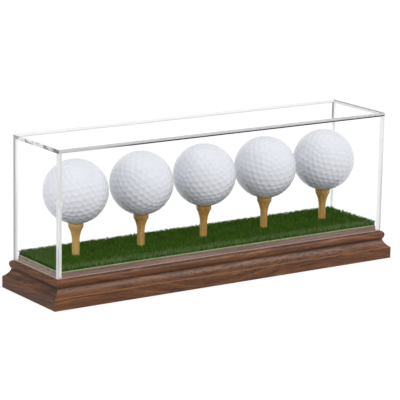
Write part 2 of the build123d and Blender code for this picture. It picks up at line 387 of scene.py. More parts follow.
def section_painted_light(section):
    """Painted shade, -1, in the quirk, and a painted highlight, 1, on the edge over the flat band, with half as much
    painted light on the cove. Each fades as a bell curve of the distance."""
    quirk = (bead_inset + quirk_depth, rail_height - bead_height - quirk_drop)
    edge = (fillet_ease / 3, fillet_height)
    from_quirk, from_edge = (np.linalg.norm(section - place, axis=1) for place in (quirk, edge))
    from_cove = np.linalg.norm(section - (2.8 * mm, 10.9 * mm), axis=1)
    painted_pale = np.exp(-((from_edge / (0.6 * mm)) ** 2)) + 0.5 * np.exp(-((from_cove / (1.8 * mm)) ** 2))
    return painted_pale - np.exp(-((from_quirk / (0.8 * mm)) ** 2))


section = moulding_section()
painted_light_and_paleness = section_painted_light(section)
below_crown = section[:, 1] < rail_height - bead_crown_radius
print("moulding section:", len(section), "points, in mm:", (section[::6] / mm).round(2).tolist())

# %% [markdown]
# The grid for one side has the section's points in one direction and stations along the rail in
# the other. The two ends are closed by one face each, in the plane of the mitre. A hair's width is
# left at each mitre for the line of glue that shows between two lengths.

# %% The four rails
sharp_angle = math.radians(32)
glue_line = 0.03 * mm
base_low = np.array(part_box("base_rail_left")[0])
base_high = np.array(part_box("base_rail_right")[1])
rail_foot_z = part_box("base_rail_front")[0].z
stations = np.linspace(-1, 1, 61)


def make_rail(name, node, half_length, face, axis, number, painted_shade, wood):
    """A point at inset i and height h goes to (half_length - i) along the rail times the
    station, and to face - i across it, on the side that face has the sign of."""
    inset, height = section[None, :, 0], section[None, :, 1]
    along = stations[:, None] * (half_length - inset - glue_line)
    across = np.broadcast_to(face - math.copysign(1, face) * inset, along.shape)
    up = np.broadcast_to(rail_foot_z + height, along.shape)
    drift = 5 * mm * np.sin(along / (32 * mm) + 2 * number)
    grain = np.stack([along + 0.37 * number, across, up + drift], axis=-1).reshape(-1, 3)
    order = (along, across, up) if axis == 0 else (across, along, up)
    points = np.stack(order, axis=-1).reshape(-1, 3)
    faces = grid_faces(len(stations), len(section), close_columns=True)
    start_cap = np.arange(len(section))[None, ::-1]
    end_cap = np.arange(len(section))[None, :] + (len(stations) - 1) * len(section)
    if (axis == 0) == (face < 0):
        faces, start_cap, end_cap = faces[:, ::-1], start_cap[:, ::-1], end_cap[:, ::-1]
    rail = new_piece(name, points, faces, start_cap, end_cap)
    rail.data.set_sharp_from_angle(angle=sharp_angle)
    rail.data.materials.append(wood)
    keep_with_points(rail, "grain", grain)
    # Below the bead's crown, a rail's wood is darkened by its share of painted shade.
    keep_with_points(rail, "painted_light_and_paleness", np.tile(painted_light_and_paleness - painted_shade * below_crown * (1 + painted_light_and_paleness), len(stations)))
    put_in_place(rail, "base", [node])


make_rail("moulding_front", "base_rail_front", base_high[0], base_low[1], 0, 1, 0.0, walnut)
make_rail("moulding_rear", "base_rail_rear", base_high[0], base_high[1], 0, 2, 0.0, walnut)
# The two end rails take painted shade below the bead's crown.
make_rail("moulding_left", "base_rail_left", base_high[1], base_low[0], 1, 3, 0.55, end_walnut)
make_rail("moulding_right", "base_rail_right", base_high[1], base_high[0], 1, 4, 0.55, end_walnut)

# %% [markdown]
# The plinth and the core board are plain sawn boards with holes, and their CAD shapes are right as
# they are. They keep their meshes and only take a finish.


# %% Plinth and core board
def dress_node(node, material):
    """Gives a CAD node one material in all its slots."""
    mesh = nodes[node].data
    mesh.materials.clear()
    mesh.materials.append(material)
    print(node, "is dressed in", material.name)


dress_node("plinth", plinth_walnut)
dress_node("core_board", core_wood)

# %% [markdown]
# ## Felt feet
# Four stamped felt discs keep the base off the table. A disc's edge is soft: it bulges a little
# and is uneven, so the profile of each disc is turned about its own axis, with the radius made
# uneven by a few waves.

# %% Felt material and discs
felt, felt_tree, felt_shader = new_material("felt", sheen_weight=0.4, sheen_roughness=0.5, roughness=0.95)
felt_place = add_node(felt_tree, "TexCoord").outputs["Object"]
felt_fuzz = stretched_noise(felt_tree, felt_place, (3000, 3000, 3000), detail=4.0, roughness=0.7)
felt_colour = mix_colours(felt_tree, felt_fuzz, paint(38, 30, 26), paint(88, 74, 64))
felt_tree.links.new(felt_colour, felt_shader.inputs["Base Color"])
add_bump(felt_tree, felt_shader, felt_fuzz, 0.15 * mm)

feet_low, feet_high = (np.array(corner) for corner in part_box("felt_feet"))
foot_radius = 5.0 * mm


def make_felt_disc(name, x, y):
    """The radius is the disc's own, less a rounding near top and bottom, plus three waves."""
    thickness = feet_high[2] - feet_low[2]
    height = np.array([0, 0, 0.15, 0.5, 0.85, 1, 1])[:, None]
    reach = np.array([0.5, 0.975, 0.995, 1.0, 0.995, 0.975, 0.5])[:, None]
    turn = np.linspace(0, 2 * math.pi, 72, endpoint=False)[None, :]
    uneven = 1 - 0.004 * (1 + np.sin(13 * turn + 90 * x) + 0.6 * np.sin(29 * turn) * height)
    radius = foot_radius * reach * uneven
    ring = np.stack([x + radius * np.cos(turn), y + radius * np.sin(turn)], axis=-1)
    level = np.broadcast_to(feet_low[2] + thickness * height, radius.shape)[..., None]
    middle = np.array([[x, y, feet_low[2]], [x, y, feet_high[2]]])
    points = np.concatenate([np.concatenate([ring, level], axis=-1).reshape(-1, 3), middle])
    rows, columns = radius.shape
    column = np.arange(columns)
    after = (column + 1) % columns
    last = (rows - 1) * columns
    under = np.stack([np.full(columns, rows * columns), after, column], axis=-1)
    over = np.stack([np.full(columns, rows * columns + 1), last + column, last + after], axis=-1)
    disc = new_piece(name, points, grid_faces(rows, columns, close_columns=True), under, over)
    disc.data.materials.append(felt)
    put_in_place(disc, "base", ["felt_feet"])


for number, (end, side) in enumerate(((-1, -1), (1, -1), (-1, 1), (1, 1)), start=1):
    foot_x = end * (feet_high[0] - foot_radius)
    foot_y = side * (feet_high[1] - foot_radius)
    make_felt_disc(f"felt_foot_{number}", foot_x, foot_y)

# %% [markdown]
# ## Turf: backing and thatch
# Artificial turf is a pile of plastic blades tufted into a woven backing. From the side the
# backing shows as a thin light green line. Both it and the thin layer that the blades stand in are
# flat sheets with five round holes, so each is made of five tiles: the points run from the hole's
# edge out to the tile's own border, and neighbouring tiles share the points on their border.

# %% Turf sheets
pile_low, pile_high = (np.array(corner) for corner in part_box("turf_pile"))
backing_low, backing_high = (np.array(corner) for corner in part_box("turf_backing"))
ball_count = 5
tee_boxes = [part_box(f"tee_{number}") for number in range(1, ball_count + 1)]
tee_x = np.array([(low.x + high.x) / 2 for low, high in tee_boxes])
tee_pitch = tee_x[1] - tee_x[0]
tee_shaft_radius = 2.5 * mm
tee_hole_radius = tee_shaft_radius + 0.1 * mm
thatch_thickness = 0.4 * mm
draw = np.random.default_rng(11)


def tile_points(centre_x, left, right, half_width, side_count=24):
    """Five rings between a circle and a rectangle: each ring lies a share of the way from the
    circle's point to the rectangle's point in the same direction."""
    share = np.linspace(-1, 1, side_count, endpoint=False)
    up_right = np.stack([np.full(side_count, right), share * half_width], axis=-1)
    along_top = np.stack([right + (share + 1) / 2 * (left - right), np.full(side_count, half_width)], axis=-1)
    down_left = np.stack([np.full(side_count, left), -share * half_width], axis=-1)
    along_foot = np.stack([left + (share + 1) / 2 * (right - left), np.full(side_count, -half_width)], axis=-1)
    border = np.concatenate([up_right, along_top, down_left, along_foot]) - (centre_x, 0)
    hole = tee_hole_radius * border / np.linalg.norm(border, axis=1, keepdims=True)
    way_out = np.array([0, 0.03, 0.15, 0.5, 1])[:, None, None]
    return (hole + way_out * (border - hole) + (centre_x, 0)).reshape(-1, 2)


def make_turf_sheet(name, node, top, thickness, ragged):
    """Five tiles, merged where they meet, with the outer border moved in or out a little."""
    half_length, half_width = pile_high[0], pile_high[1]
    inner = (tee_x[:-1] + tee_x[1:]) / 2
    edges = np.concatenate([[-half_length], inner, [half_length]])
    tiles = [tile_points(x, edges[i], edges[i + 1], half_width) for i, x in enumerate(tee_x)]
    columns = 4 * 24
    quads = grid_faces(5, columns, close_columns=True)[:, ::-1]
    faces = np.concatenate([quads + i * 5 * columns for i in range(ball_count)])
    flat = np.concatenate(tiles)
    _, first, merged = np.unique(
        (flat / (0.001 * mm)).round().astype(int), axis=0, return_index=True, return_inverse=True
    )
    flat, faces = flat[first], merged.reshape(-1)[faces]
    on_end = np.isclose(abs(flat[:, 0]), half_length, atol=1e-6)
    on_side = np.isclose(abs(flat[:, 1]), half_width, atol=1e-6)
    flat[:, 0] += np.where(on_end, np.sign(flat[:, 0]) * draw.uniform(-ragged, ragged, len(flat)), 0)
    flat[:, 1] += np.where(on_side, np.sign(flat[:, 1]) * draw.uniform(-ragged, ragged, len(flat)), 0)
    points = np.column_stack([flat, np.full(len(flat), top)])
    sheet = new_piece(name, points, faces)
    sheet.data.shade_flat()
    solidify = sheet.modifiers.new("thickness", "SOLIDIFY")
    solidify.thickness = thickness
    solidify.offset = -1.0
    return sheet


# %% [markdown]
# The backing is woven, and its cut edge is a pale green. The thatch on it is the same green in the
# shade of the blades.


# %% Backing and thatch materials
def weave_material(name, thread, gap):
    """Two crossed sets of waves, 1.6 threads to the millimetre, make the raised threads."""
    material, tree, shader = new_material(name, roughness=0.75)
    place = add_node(tree, "TexCoord").outputs["Object"]
    parts = add_node(tree, "SeparateXYZ", {0: place})
    threads = 2 * math.pi * 1600
    warp = arithmetic(tree, "SINE", arithmetic(tree, "MULTIPLY", parts.outputs["X"], threads))
    weft = arithmetic(tree, "SINE", arithmetic(tree, "MULTIPLY", parts.outputs["Y"], threads))
    woven = arithmetic(tree, "MULTIPLY", warp, weft)
    mottle = stretched_noise(tree, place, (420, 420, 420), detail=4.0, roughness=0.65)
    share = arithmetic(tree, "ADD", arithmetic(tree, "MULTIPLY", woven, 0.2), mottle)
    colour = mix_colours(tree, ease_between(tree, share, 0.25, 0.75), paint(*gap), paint(*thread))
    tree.links.new(colour, shader.inputs["Base Color"])
    add_bump(tree, shader, share, 0.08 * mm)
    return material


backing_weave = weave_material("turf_backing", (172, 205, 132), (118, 158, 84))
thatch_weave = weave_material("turf_thatch", (60, 94, 36), (30, 54, 16))

backing = make_turf_sheet(
    "turf_backing_sheet", "turf_backing", backing_high[2], backing_high[2] - backing_low[2], 0.06 * mm
)
backing.data.materials.append(backing_weave)
put_in_place(backing, "base", ["turf_backing"])
thatch_top = pile_low[2] + thatch_thickness
thatch = make_turf_sheet("turf_thatch_sheet", "turf_pile", thatch_top, thatch_thickness, 0.05 * mm)
thatch.data.materials.append(thatch_weave)
put_in_place(thatch, "base", ["turf_pile"])

# %% [markdown]
# ## Turf: blades
# Each blade is a thin folded ribbon that leans over and comes to a point. Real ones number tens of
# thousands, so a blade has only ten points: three rings of three, and the tip. All blades are
# worked out at once, as one array with a line for each blade. They are kept in four pieces along
# the case, so that none gets too heavy.

# %% Where the blades stand
blade_spacing = 0.78 * mm
fringe_spacing = 0.42 * mm  # along the two long edges
blade_height = pile_high[2] - thatch_top
edge_room = 0.55 * mm  # how far a tip may hang over the edge of the turf


def blade_roots():
    """A square grid with every point moved by up to half a step, less the tees' holes."""
    half_length, half_width = pile_high[0] - 0.3 * mm, pile_high[1] - 0.3 * mm
    columns = int(2 * half_length / blade_spacing)
    rows = int(2 * half_width / blade_spacing)
    x, y = np.meshgrid(np.linspace(-half_length, half_length, columns), np.linspace(-half_width, half_width, rows))
    roots = np.stack([x.ravel(), y.ravel()], axis=-1)
    roots += draw.uniform(-0.5, 0.5, roots.shape) * blade_spacing
    roots = np.clip(roots, (-half_length, -half_width), (half_length, half_width))
    from_tee = np.hypot(roots[:, :1] - tee_x, roots[:, 1:]).min(axis=1)
    roots = roots[from_tee > tee_hole_radius + 0.15 * mm]
    rim = np.arange(-half_length, half_length, fringe_spacing)
    fringe = [np.stack([rim, np.full(len(rim), side * half_width)], axis=-1) for side in (-1, 1)]
    return np.concatenate([roots, *fringe])


def clump(roots, wavelength, seed):
    """A smooth value from -1 to 1 that rises and falls over the turf: the mean of eight plane
    waves in random directions."""
    waves = np.random.default_rng(seed)
    heading, phase = waves.uniform(0, 2 * math.pi, (2, 8))
    stretch = waves.uniform(0.7, 1.4, 8) * 2 * math.pi / wavelength
    across = roots[:, :1] * np.cos(heading) + roots[:, 1:] * np.sin(heading)
    return np.clip(np.sin(across * stretch + phase).sum(axis=1) / 3, -1, 1)


roots = blade_roots()
print("turf blades:", len(roots))

# %% [markdown]
# Blades near the edges lean outwards and are a little shorter, which rounds the turf's corners.
# Tips are kept clear of the tees and of the cover. Each blade also keeps three numbers for its material: how far up a
# point is, a tone of its own, and how much painted light lightens it: along the front edge, and as a painted highlight
# on one blade in twenty.


# %% The blades' shapes
def blade_shapes(roots):
    """The middle of a blade at t is its root, plus its lean times t squared, plus its height
    times t. The ribbon is w wide there, w falling as 1 - 0.55 t squared, and folded."""
    count = len(roots)
    half_length, half_width = pile_high[0], pile_high[1]
    to_edge = np.stack([half_length - abs(roots[:, 0]), half_width - abs(roots[:, 1])], axis=-1)
    near_edge = np.exp(-to_edge / (1.2 * mm))
    heading = draw.uniform(0, 2 * math.pi, count)
    reach = draw.uniform(0.25, 1.25, count) * mm
    lean = np.stack([np.cos(heading), np.sin(heading)], axis=-1) * reach[:, None]
    lean += np.sign(roots) * near_edge * 0.8 * mm
    tip = np.clip(roots + lean, (-half_length - edge_room, -half_width - edge_room),
                  (half_length + edge_room, half_width + edge_room))
    nearest = np.abs(tip[:, :1] - tee_x).argmin(axis=1)
    from_tee = tip - np.stack([tee_x[nearest], np.zeros(count)], axis=-1)
    distance = np.linalg.norm(from_tee, axis=1, keepdims=True)
    clearance = tee_hole_radius + 0.25 * mm
    tip += np.where(distance < clearance, from_tee / distance * (clearance - distance), 0)
    lean = tip - roots

    height = blade_height * (1.00 + 0.12 * clump(roots, 2.8 * mm, 3) + draw.uniform(-0.14, 0.07, count))
    height *= 1 - 0.06 * near_edge.max(axis=1) ** 2
    facing = draw.uniform(0, 2 * math.pi, count)
    side = np.stack([np.cos(facing), np.sin(facing), np.zeros(count)], axis=-1)
    front = np.stack([-np.sin(facing), np.cos(facing), np.zeros(count)], axis=-1)
    width = draw.uniform(0.50, 0.78, count) * mm

    t = np.array([0, 0.45, 0.82])[None, :, None]
    middle = np.concatenate([roots[:, None] + lean[:, None] * t**2, thatch_top + height[:, None, None] * t - 0.1 * mm * (t == 0)], axis=-1)
    half = (width[:, None, None] / 2 * (1 - 0.55 * t**2))
    fold = half * 0.45
    ring = np.stack([middle - side[:, None] * half, middle + side[:, None] * half,
                     middle + front[:, None] * fold], axis=2)
    end = np.concatenate([tip, thatch_top + height[:, None]], axis=-1)
    points = np.concatenate([ring.reshape(count, 9, 3), end[:, None]], axis=1)
    patch = 0.3 * clump(roots, 14 * mm, 5) + 0.7 * clump(roots, 2.6 * mm, 8)
    tone = np.repeat(0.35 * draw.uniform(0, 1, count) + 0.65 * (patch + 1) / 2, 10)
    from_front = roots[:, 1] + half_width
    # Blades near the front are painted lighter, and one in twenty takes a painted highlight.
    front_painted_light = np.clip(1 - (from_front - 2 * mm) / (6 * mm), 0, 1) * draw.uniform(0.1, 1, count)
    painted_pale = np.repeat(np.maximum(front_painted_light, 0.45 * (draw.uniform(0, 1, count) < 0.05)), 10)
    rise = np.tile(np.array([0, 0, 0, 0.45, 0.45, 0.45, 0.82, 0.82, 0.82, 1.0]), count)
    return points, rise, tone, painted_pale


# %% [markdown]
# One blade's faces are written once, as point numbers from 0 to 9, and repeated with a shift of
# ten for every blade.

# %% Turf material and the four pieces
one_blade_quads = np.concatenate([
    np.array([[0, 1, 4, 3], [1, 2, 5, 4], [2, 0, 3, 5]]) + ring * 3 for ring in range(2)
])
one_blade_triangles = np.array([[6, 7, 9], [7, 8, 9], [8, 6, 9], [0, 2, 1]])

grass, grass_tree, grass_shader = new_material("turf_grass", roughness=0.6, specular_ior_level=0.12)
blade_rise = add_node(grass_tree, "Attribute", attribute_name="rise").outputs["Fac"]
blade_tone = add_node(grass_tree, "Attribute", attribute_name="tone").outputs["Fac"]
grass_place = add_node(grass_tree, "TexCoord").outputs["Object"]
blade_streak = stretched_noise(grass_tree, grass_place, (2600, 2600, 240), detail=2.0)
fresh = mix_colours(grass_tree, blade_tone, paint(28, 66, 4), paint(86, 132, 18))
fresh = mix_colours(grass_tree, ease_between(grass_tree, blade_streak, 0.35, 0.7, 0.0, 0.35), fresh, paint(100, 138, 40))
# Blades darken towards their roots: painted shade down in the pile.
grass_colour = mix_colours(grass_tree, ease_between(grass_tree, blade_rise, 0.0, 0.7), paint(18, 40, 5), fresh)
# Painted light: this attribute turns a blade towards a pale green.
blade_painted_pale = add_node(grass_tree, "Attribute", attribute_name="painted_pale").outputs["Fac"]
painted_pale_share = arithmetic(grass_tree, "MULTIPLY", blade_painted_pale, 0.9)
grass_colour = mix_colours(grass_tree, painted_pale_share, grass_colour, paint(130, 154, 100))
grass_tree.links.new(grass_colour, grass_shader.inputs["Base Color"])
grass_roughness = ease_between(grass_tree, blade_streak, 0.3, 0.7, 0.42, 0.62)
grass_tree.links.new(grass_roughness, grass_shader.inputs["Roughness"])

piece_edges = np.linspace(-pile_high[0] - mm, pile_high[0] + mm, 5)
for number in range(1, 5):
    inside = (roots[:, 0] >= piece_edges[number - 1]) & (roots[:, 0] < piece_edges[number])
    points, rise, tone, painted_pale = blade_shapes(roots[inside])
    shift = np.arange(inside.sum())[:, None, None] * 10
    quads = (one_blade_quads + shift).reshape(-1, 4)
    triangles = (one_blade_triangles + shift).reshape(-1, 3)
    turf = new_piece(f"turf_blades_{number}", points.reshape(-1, 3), quads, triangles)
    turf.data.materials.append(grass)
    keep_with_points(turf, "rise", rise)
    keep_with_points(turf, "tone", tone)
    keep_with_points(turf, "painted_pale", painted_pale)
    put_in_place(turf, "base", ["turf_pile"])

# %% [markdown]
# ## Tees
# A tee is turned on a lathe from a pale hardwood: a pointed shaft, a hollow cone, a short head and
# a cup. So its mesh is a profile turned about the tee's axis. The cup is struck from the middle of
# the ball that will sit in it, a hair wider than the ball.

# %% The tee's profile, as radius against height below the rim
ball_diameter = 42.67 * mm
ball_radius = ball_diameter / 2
seat_gap = 0.15 * mm
tee_length = 38.0 * mm
tee_head_diameter = 10.4 * mm
tee_head_taper = 0.2 * mm
tee_paleness = np.array([0.60, -0.04, -0.08, 0.05, 0.08])  # how much paler each tee is made; the first, at the left end, much paler than the rest
tee_head_height = 3.0 * mm
tee_neck_step = 0.2 * mm
tee_taper_length = 9.4 * mm
tee_rim_round = 0.3 * mm
tee_cup_radius = 4.7 * mm
tee_tip_length = 5.0 * mm
tee_tip_radius = 0.6 * mm
cup_sphere_radius = ball_radius + seat_gap
ball_rise = math.sqrt(cup_sphere_radius**2 - tee_cup_radius**2)


def tee_profile():
    """From the point, up the outside, over the rim and down into the cup. The cup is the part
    of a circle about the ball's middle that lies inside the rim."""
    head_radius = tee_head_diameter / 2
    neck_radius = head_radius - tee_head_taper - tee_neck_step
    cone_start = (tee_shaft_radius, -tee_head_height - tee_taper_length)
    cone_end = (neck_radius, -tee_head_height)
    cone = arc(cone_start, cone_end, rise_of_tangent_arc(cone_start, cone_end, (0, 1)), 16)
    lip_start = (head_radius, -tee_rim_round)
    lip_end = (head_radius - tee_rim_round, 0)
    lip = arc(lip_start, lip_end, rise_of_tangent_arc(lip_start, lip_end, (0, 1)), 6)
    half_angle = math.asin(tee_cup_radius / cup_sphere_radius)
    swing = np.linspace(half_angle, half_angle / 12, 12)[:, None]
    cup = np.concatenate([cup_sphere_radius * np.sin(swing), ball_rise - cup_sphere_radius * np.cos(swing)], axis=1)
    return np.concatenate([
        [(tee_tip_radius, -tee_length), (tee_shaft_radius, tee_tip_length - tee_length)],
        np.linspace((tee_shaft_radius, tee_tip_length - tee_length), cone_start, 8)[1:-1],
        cone,
        [(neck_radius + 0.7 * tee_neck_step, -tee_head_height), (neck_radius + tee_neck_step, -tee_head_height + 0.08 * mm)],
        lip,
        cup,
    ])


# %% [markdown]
# The grain runs up the tee. Each tee is turned by its own angle and starts at its own height in
# the wood, so that no two show the same streaks.


# %% Five turned tees
def make_tee(number):
    """Point (r, h) of the profile at angle a goes to (x + r cos a, r sin a, rim + h). The two
    ends are closed by fans of triangles to a point on the axis."""
    low, high = tee_boxes[number - 1]
    x, rim = tee_x[number - 1], high.z
    profile = tee_profile()
    turn = np.linspace(0, 2 * math.pi, 72, endpoint=False)[None, :]
    radius, height = profile[:, :1], profile[:, 1:]
    ring = np.stack([radius * np.cos(turn), radius * np.sin(turn), np.broadcast_to(height, (len(profile), 72))], axis=-1)
    ends = np.array([[0, 0, -tee_length], [0, 0, ball_rise - cup_sphere_radius]])
    local = np.concatenate([ring.reshape(-1, 3), ends])
    column = np.arange(72)
    after = (column + 1) % 72
    last = (len(profile) - 1) * 72
    under = np.stack([np.full(72, len(local) - 2), after, column], axis=-1)
    over = np.stack([np.full(72, len(local) - 1), last + column, last + after], axis=-1)
    faces = grid_faces(len(profile), 72, close_columns=True)
    tee = new_piece(f"turned_tee_{number}", local + (x, 0, rim), faces, under, over)
    tee.data.set_sharp_from_angle(angle=math.radians(40))
    tee.data.materials.append(tee_wood)
    spin = 1.9 * number
    across = local[:, 0] * math.cos(spin) - local[:, 1] * math.sin(spin)
    depth = local[:, 0] * math.sin(spin) + local[:, 1] * math.cos(spin)
    grain = np.stack([local[:, 2] + 0.21 * number, across * 1.6 + 0.05 * number, depth * 1.6], axis=-1)
    keep_with_points(tee, "grain", grain)
    keep_with_points(tee, "painted_light_and_paleness", np.full(len(local), tee_paleness[number - 1]))
    put_in_place(tee, "base", [f"tee_{number}"])


for number in range(1, ball_count + 1):
    make_tee(number)

# %% [markdown]
# ## Balls
# A ball's cover is moulded with 362 dimples that follow an icosahedron: its twelve corners, and
# the points that divide each of its faces into small triangles. A bump map would leave the ball's
# outline smooth, and a dimpled ball's isn't, so the dimples are real. The sphere is a cube
# whose six faces are blown up to a ball, because that leaves no poles where points crowd.

# %% Dimple directions
dimple_frequency = 6
dimple_depth = 0.22 * mm
dimple_land = 0.16 * mm
dimple_sizes = np.array([3.9, 3.6, 3.3]) * mm
dimple_tilt = (17.0, 9.0)
ball_turn = math.radians(47.0)


def dimple_directions():
    """Whole-number mixes a m + b n + c o, with m + n + o = 6, of each face's three corners,
    pushed out to length one and tilted."""
    golden = (1 + math.sqrt(5)) / 2
    signs = np.array([(a, b * golden) for a in (-1, 1) for b in (-1, 1)])
    zero = np.zeros(4)
    corners = np.concatenate([
        np.column_stack([zero, signs]),
        np.column_stack([signs, zero]),
        np.column_stack([signs[:, 1], zero, signs[:, 0]]),
    ])
    close = np.abs(np.linalg.norm(corners[:, None] - corners[None], axis=-1) - 2) < 0.01
    i, j, k = np.nonzero(close[:, :, None] & close[:, None, :] & close[None])
    triples = np.stack([i, j, k], axis=-1)[(i < j) & (j < k)]
    steps = np.array([(m, n, dimple_frequency - m - n) for m in range(dimple_frequency + 1)
                      for n in range(dimple_frequency + 1 - m)])
    mixes = np.einsum("sc,fcx->fsx", steps, corners[triples]).reshape(-1, 3)
    units = mixes / np.linalg.norm(mixes, axis=1, keepdims=True)
    _, first = np.unique(units.round(4) + 0.0, axis=0, return_index=True)
    tilt_x, tilt_y = (Matrix.Rotation(math.radians(angle), 3, axis) for angle, axis in zip(dimple_tilt, "XY"))
    return units[first] @ np.array(tilt_y @ tilt_x).T


directions = dimple_directions()
closeness = directions @ directions.T - 2 * np.eye(len(directions))
room = np.sqrt(2 - 2 * closeness.max(axis=1)) * ball_radius - dimple_land
dimple_size = np.where(room >= dimple_sizes[0], dimple_sizes[0], np.where(room >= dimple_sizes[1], dimple_sizes[1], dimple_sizes[2]))
print("dimples:", len(directions), "by size:", {float(s / mm): int((dimple_size == s).sum()) for s in dimple_sizes})

# %% [markdown]
# Each point of the sphere finds its nearest dimple. Inside it, the surface drops by the cap of the
# sphere above the dimple's rim, and by a shallow bowl below it. The rim is rounded with a soft
# maximum, as paint rounds it on a real ball.

# %% The dimpled ball
rim_softness = 0.012 * mm
steps_per_side = 100


def cube_sphere(steps):
    """Points (1, tan u, tan v) of a cube's face, for even angles u and v, and the same turned
    to the other five faces, pushed out to length one. Points on shared edges are merged."""
    angle = np.linspace(-math.pi / 4, math.pi / 4, steps + 1)
    u, v = (np.tan(grid).ravel() for grid in np.meshgrid(angle, angle, indexing="ij"))
    one = np.ones_like(u)
    sides = [(one, u, v), (-one, v, u), (v, one, u), (u, -one, v), (u, v, one), (v, u, -one)]
    points = np.concatenate([np.column_stack(side) for side in sides])
    points /= np.linalg.norm(points, axis=1, keepdims=True)
    quads = grid_faces(steps + 1, steps + 1)[:, ::-1]
    faces = np.concatenate([quads + k * (steps + 1) ** 2 for k in range(6)])
    _, first, merged = np.unique(
        (points * 1e6).round().astype(int), axis=0, return_index=True, return_inverse=True
    )
    return points[first], merged.reshape(-1)[faces]


def press_dimples(units):
    """How far each point sinks, and how deep it lies in its dimple from 0 to 1."""
    cosine = units @ directions.T
    nearest = cosine.argmax(axis=1)
    cosine = np.clip(cosine.max(axis=1), -1, 1)
    half = dimple_size[nearest] / 2
    from_axis = ball_radius * np.sqrt(1 - cosine**2)
    cap = ball_radius * cosine - np.sqrt(ball_radius**2 - half**2)
    bowl = dimple_depth * (1 - (from_axis / half) ** 2)
    drop = rim_softness * np.logaddexp(0, (cap + bowl) / rim_softness)
    return drop, np.clip(bowl / dimple_depth, 0, 1)


unit_points, ball_faces = cube_sphere(steps_per_side)
drop, hollow = press_dimples(unit_points)
ball_points = unit_points * (ball_radius - drop)[:, None]
print("ball:", len(unit_points), "points, deepest dimple", round(drop.max() / mm, 3), "mm")

# %% [markdown]
# The cover is a faintly cool white urethane under a clear coat. Its dimples are painted a little darker with their
# depth: painted shade.

# %% Ball material and the five balls
ball_cover, ball_tree, ball_shader = new_material(
    "ball_cover", coat_weight=1.0, coat_roughness=0.03, coat_ior=1.6, specular_ior_level=0.1
)
hollow_share = add_node(ball_tree, "Attribute", attribute_name="hollow").outputs["Fac"]
ball_place = add_node(ball_tree, "TexCoord").outputs["Object"]
ball_mottle = stretched_noise(ball_tree, ball_place, (190, 190, 190), detail=4.0, roughness=0.6)
ball_white = mix_colours(ball_tree, ball_mottle, paint(232, 234, 243), paint(242, 243, 250))
# Painted shade: the colour darkens a little with the dimple's depth.
ball_white_with_painted_shade = mix_colours(ball_tree, ease_between(ball_tree, hollow_share, 0.0, 0.9, 0.0, 0.03), ball_white, paint(214, 217, 228))
ball_tree.links.new(ball_white_with_painted_shade, ball_shader.inputs["Base Color"])
ball_gloss = ease_between(ball_tree, ball_mottle, 0.3, 0.7, 0.45, 0.55)
ball_tree.links.new(ball_gloss, ball_shader.inputs["Roughness"])

for number in range(1, ball_count + 1):
    low, high = (np.array(corner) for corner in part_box(f"ball_{number}"))
    turn = np.array(Matrix.Rotation(number * ball_turn, 3, "Z"))
    ball = new_piece(f"dimpled_ball_{number}", ball_points @ turn.T + (low + high) / 2, ball_faces)
    ball.data.materials.append(ball_cover)
    keep_with_points(ball, "hollow", hollow)
    put_in_place(ball, f"ball_{number}", [f"ball_{number}"])

# %% [markdown]
# ## The clear cover
# Five sheets of acrylic are cemented edge to face. Their wide faces are polished, and the cut
# edges are satin, which is why the corners show white while the walls nearly vanish. Each sheet is
# a box whose edges get a small bevel. A hair's width between the sheets stands for the cement,
# and keeps two clear faces from lying in one plane, which a renderer can't sort out.

# %% Acrylic materials


def let_light_through(tree, shader):
    """Rays that come from a lamp or from a matt surface pass straight through, so what is
    inside is lit as if the cover weren't there."""
    path = add_node(tree, "LightPath")
    straight = arithmetic(tree, "MAXIMUM", path.outputs["Is Shadow Ray"], path.outputs["Is Diffuse Ray"])
    clear = add_node(tree, "BsdfTransparent")
    mixed = add_node(tree, "MixShader", {0: straight, 1: shader.outputs[0], 2: clear.outputs[0]})
    tree.links.new(mixed.outputs[0], tree.nodes["Material Output"].inputs["Surface"])


cover_low = np.array(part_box("cover_front")[0])
cover_high = np.array(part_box("cover_top")[1])
ceiling_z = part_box("cover_top")[0].z

clear_face, face_tree, face_shader = new_material(
    "clear_acrylic", roughness=0.0, transmission_weight=1.0, ior=1.06, coat_roughness=0.25
)
face_place = add_node(face_tree, "TexCoord").outputs["Object"]
face_height = add_node(face_tree, "SeparateXYZ", {0: face_place}).outputs["Z"]
smear = stretched_noise(face_tree, face_place, (140, 140, 500), detail=3.0)
uneven_height = arithmetic(face_tree, "MULTIPLY_ADD", smear, 3 * mm)
uneven_height.node.inputs[2].default_value = -1.5 * mm
haze_height = arithmetic(face_tree, "ADD", face_height, uneven_height)
haze = ease_between(face_tree, haze_height, cover_low[2], cover_low[2] + 5 * mm, 1.0, 0.0)
face_tree.links.new(haze, face_shader.inputs["Coat Weight"])
face_tint = mix_colours(face_tree, smear, paint(253, 254, 254), paint(255, 255, 255))
face_tree.links.new(face_tint, face_shader.inputs["Base Color"])
let_light_through(face_tree, face_shader)

cut_edge, edge_tree, edge_shader = new_material(
    "acrylic_edge", roughness=0.4, transmission_weight=0.4, ior=1.15
)
edge_place = add_node(edge_tree, "TexCoord").outputs["Object"]
edge_parts = add_node(edge_tree, "SeparateXYZ", {0: edge_place})
